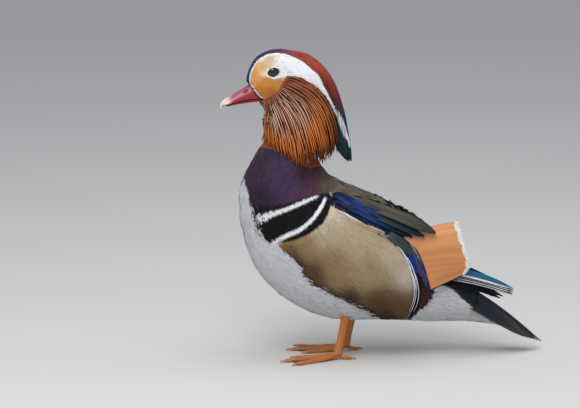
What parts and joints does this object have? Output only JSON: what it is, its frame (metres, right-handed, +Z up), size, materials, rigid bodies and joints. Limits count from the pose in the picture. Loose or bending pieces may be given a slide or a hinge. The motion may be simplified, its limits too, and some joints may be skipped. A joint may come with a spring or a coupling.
{
  "type": "mandarin duck",
  "caption": "Standing male mandarin duck with an orange ruff, a swept-back crest and raised orange wing sails, life size.",
  "frame": {"origin": "on the floor, under the middle of the bird's bounding box", "axes": "+X forwards along the bird, towards the bill; +Y to the bird's left; +Z up, with the floor at Z 0"},
  "size_m": [0.3026, 0.105, 0.2872],
  "materials": {
    "bill": "smooth crimson horn",
    "bill_nail": "pale horn",
    "body_feathers": "soft white plumage below, olive brown above",
    "crest_feathers": "long glossy copper to blue feathers",
    "eye": "glossy near-black",
    "flank_feathers": "fine barred buff plumage",
    "head_feathers": "short soft plumage, orange-tan to white",
    "leg_skin": "scaled orange skin with grey webs",
    "neck_feathers": "short glossy purple plumage with black and white bars",
    "ruff_feathers": "long narrow orange hackles",
    "sail_feathers": "stiff cinnamon feather with a pale edge",
    "tail_feathers": "stiff slate feathers",
    "wing_feathers": "stiff glossy blue and brown feathers"
  },
  "bodies": {
    "root": {"bill_lower": "bill", "bill_nail": "bill_nail", "bill_upper": "bill", "crest": "crest_feathers", "eye_left": "eye", "eye_right": "eye", "flank_left": "flank_feathers", "flank_right": "flank_feathers", "foot_left": "leg_skin", "foot_right": "leg_skin", "head": "head_feathers", "leg_left": "leg_skin", "leg_right": "leg_skin", "neck": "neck_feathers", "primaries_left": "wing_feathers", "primaries_right": "wing_feathers", "ruff_left": "ruff_feathers", "ruff_right": "ruff_feathers", "sail_left": "sail_feathers", "sail_right": "sail_feathers", "tail": "tail_feathers", "torso": "body_feathers", "wing_left": "wing_feathers", "wing_right": "wing_feathers"}
  },
  "joints": []
}
